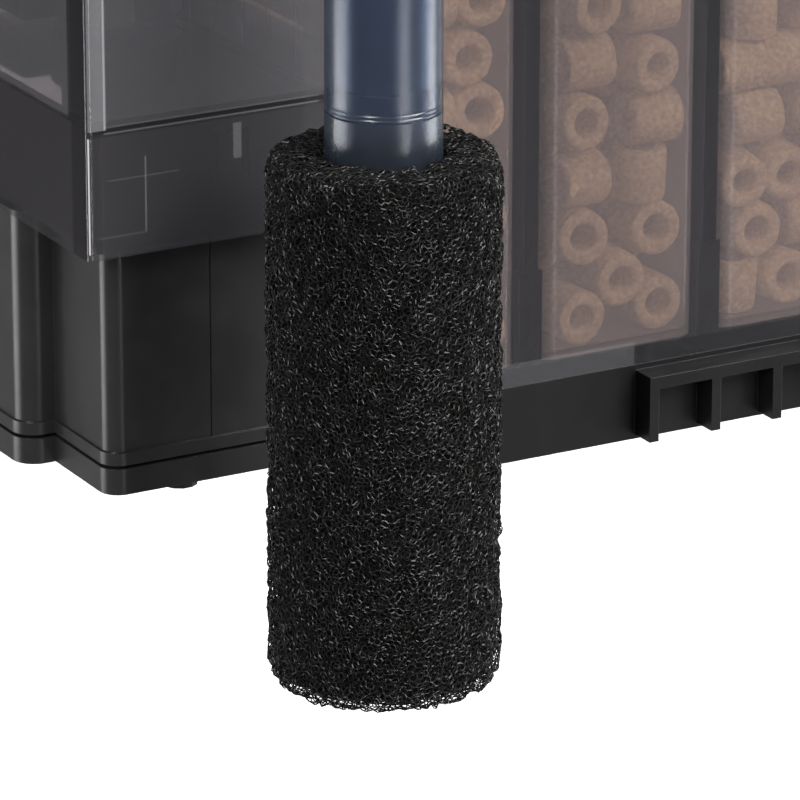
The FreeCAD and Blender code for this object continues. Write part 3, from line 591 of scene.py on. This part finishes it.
# loose ceramic rings in the cartridges, sizes in mm
ringSettings = {
    "radius": 6.4, "bore": 3.2, "length": 12.4, "sides": 18, "rim": 0.9, "smooth": 50,
    "wall": 1.5, "edge": 0.4,  # the cartridge's wall, and the gap between it and the rings
    "layers": 7, "fill": 108.0, "pitch": (13.4, 13.3, 12.9),  # pitch across, deep and tall
    "ways": "YYYXXZ",  # the axes that a ring may lie along, the more often the likelier
    "spacing": {2: 1.25, 3: 0.93}, "sideJitter": {2: 0.8, 3: 0.25}, "heightJitter": 0.25,  # by rings in a row
    "startJitter": 0.3, "frontJitter": (-0.2, 0.4), "frontLift": 0.9,
    "tilt": 0.07, "lumps": (0.98, 1.01), "seed": 11,
    # front layer of the middle cartridge: across from its middle, height over its floor, way it lies
    "front": [(-8.5, 6.6, "Y"), (11.8, 7.2, "Y"), (1.9, 14.6, "Y"), (-7.6, 25.6, "Y"), (11.3, 25.1, "Y"),
              (-7.2, 38.2, "X"), (9.8, 37.6, "Z"), (12.3, 50.4, "X"), (-8.0, 52.4, "Y"), (10.3, 63.6, "Y"),
              (-5.6, 65.6, "X"), (11.0, 77.0, "X"), (-5.0, 79.4, "Y"), (8.2, 90.2, "Y"), (-7.9, 92.6, "Z"),
              (9.4, 103.4, "X"), (-6.0, 105.6, "Y")],
}


def makeRing(s):
    deselectAll()
    bpy.ops.mesh.primitive_cylinder_add(vertices=s["sides"], radius=s["radius"] * mm, depth=s["length"] * mm)
    ring = bpy.context.object
    end = s["length"] / 2 * mm
    selectWhere(ring, faceTest=lambda f: abs(f.normal.z) > upright)
    bpy.ops.mesh.inset(thickness=(s["radius"] - s["bore"]) * mm, use_individual=True)
    bpy.ops.mesh.bridge_edge_loops()
    selectWhere(ring, edgeTest=lambda a, b: abs(a.z - b.z) < near and abs(a.z) > end - 10 * near
                and abs(a.xy.length - b.xy.length) < near)
    bpy.ops.mesh.bevel(offset=s["rim"] * mm, segments=2)
    bpy.ops.mesh.select_all(action="SELECT")
    bpy.ops.mesh.normals_make_consistent(inside=False)
    bpy.ops.object.mode_set(mode="OBJECT")
    return ring


def ringPlaces(s, low, high, rng, front):  # layers from the front to the back, in rows of two and three
    across, deep, tall = (pitch * mm for pitch in s["pitch"])
    radius = s["radius"] * mm
    inside = (s["wall"] + s["edge"]) * mm + radius
    middle = (low.x + high.x) / 2
    y = low.y + inside
    places = []
    for layer in range(s["layers"]):
        if layer == 0 and front:
            for dx, up, way in front:
                depth = y + rng.uniform(*s["frontJitter"]) * mm
                places.append((Vector((middle + dx * mm, depth, low.z + (up + s["frontLift"]) * mm)), way))
        else:
            z = low.z + inside + rng.uniform(0, s["startJitter"]) * mm
            row = 0
            while z < low.z + s["fill"] * mm:
                count = 2 if (row + layer) % 2 else 3
                for column in range(count):
                    way = rng.choice(s["ways"])
                    x = middle + (column - (count - 1) / 2) * across * s["spacing"][count]
                    x += rng.uniform(-s["sideJitter"][count], s["sideJitter"][count]) * mm
                    height = z + rng.uniform(-s["heightJitter"], s["heightJitter"]) * mm
                    places.append((Vector((x, y, height)), way))
                z += tall
                row += 1
        y += deep
    return places


def placeRing(s, model, place, way, rng):
    copy = bpy.data.objects.new("ring", model.data.copy())
    scene.collection.objects.link(copy)
    spin = Matrix.Rotation(rng.uniform(0, math.tau), 3, "Z")
    tiltX = Matrix.Rotation(rng.gauss(0, s["tilt"]), 3, "X")
    tiltZ = Matrix.Rotation(rng.gauss(0, s["tilt"]), 3, "Z")
    for vertex in copy.data.vertices:
        vertex.co = vertex.co * rng.uniform(*s["lumps"])
    copy.data.transform((tiltX @ tiltZ @ turns[way] @ spin).to_4x4())
    copy.data.transform(Matrix.Translation(place))
    return copy


turns = {"X": Matrix.Rotation(math.pi / 2, 3, "Y"), "Y": Matrix.Rotation(math.pi / 2, 3, "X"),
         "Z": Matrix.Identity(3)}
ringModel = makeRing(ringSettings)
ringRandom = random.Random(ringSettings["seed"])
for number in (1, 2, 3):
    low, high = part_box(f"cartridge_{number}")
    front = ringSettings["front"] if number == 2 else None
    places = ringPlaces(ringSettings, low, high, ringRandom, front)
    copies = [placeRing(ringSettings, ringModel, place, way, ringRandom) for place, way in places]
    rings = settle(joined(copies), f"mediaRings{number}")
    finishPiece(rings, f"cartridge_{number}", solids["mediaCeramic"], ringSettings["smooth"])
    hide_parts(f"ceramic_rings_{number}")
    print("rings", number, len(copies), "pieces")
bpy.data.objects.remove(ringModel)
